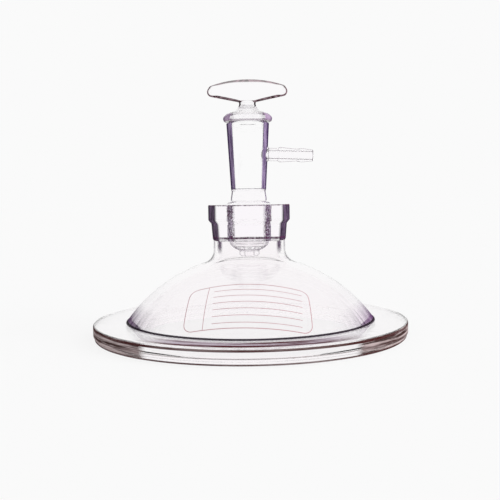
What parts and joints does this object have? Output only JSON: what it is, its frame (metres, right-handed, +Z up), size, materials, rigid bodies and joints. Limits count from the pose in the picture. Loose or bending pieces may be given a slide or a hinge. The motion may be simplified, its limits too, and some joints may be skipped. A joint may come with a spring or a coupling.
{
  "type": "vacuum desiccator lid",
  "caption": "Domed glass lid of a vacuum desiccator with a ground flange and a socketed stopcock valve that has a T handle and a hose nipple.",
  "frame": {"origin": "centre of the ground underside of the flange, the face that rests on the desiccator bowl or a bench", "axes": "+Z up along the axis of the lid, the valve and the plug; +X towards the hose nipple; the T handle lies along X at rest, with the valve open"},
  "size_m": [0.21, 0.21, 0.1698],
  "materials": {
    "lid_glass": "clear, ground on the flange's underside and in the socket's bore",
    "valve_glass": "clear, ground on the cone and in the barrel's seat",
    "plug_glass": "clear, ground on the plug's cone",
    "print_enamel": "thin fired rose-red printing"
  },
  "bodies": {
    "lid": {"lid_flange": "lid_glass", "lid_dome": "lid_glass", "neck_socket": "lid_glass"},
    "valve": {"joint_cone": "valve_glass", "valve_barrel": "valve_glass", "hose_nipple": "valve_glass"},
    "plug": {"plug_cone": "plug_glass", "plug_handle": "plug_glass"}
  },
  "joints": [
    {"name": "valve_turn", "type": "hinge", "parent": "lid", "child": "valve", "pos_m": [0, 0, 0.075], "axis": [0, 0, 1], "continuous": true},
    {"name": "plug_turn", "type": "hinge", "parent": "valve", "child": "plug", "pos_m": [0, 0, 0.12], "axis": [0, 0, 1], "continuous": true}
  ]
}
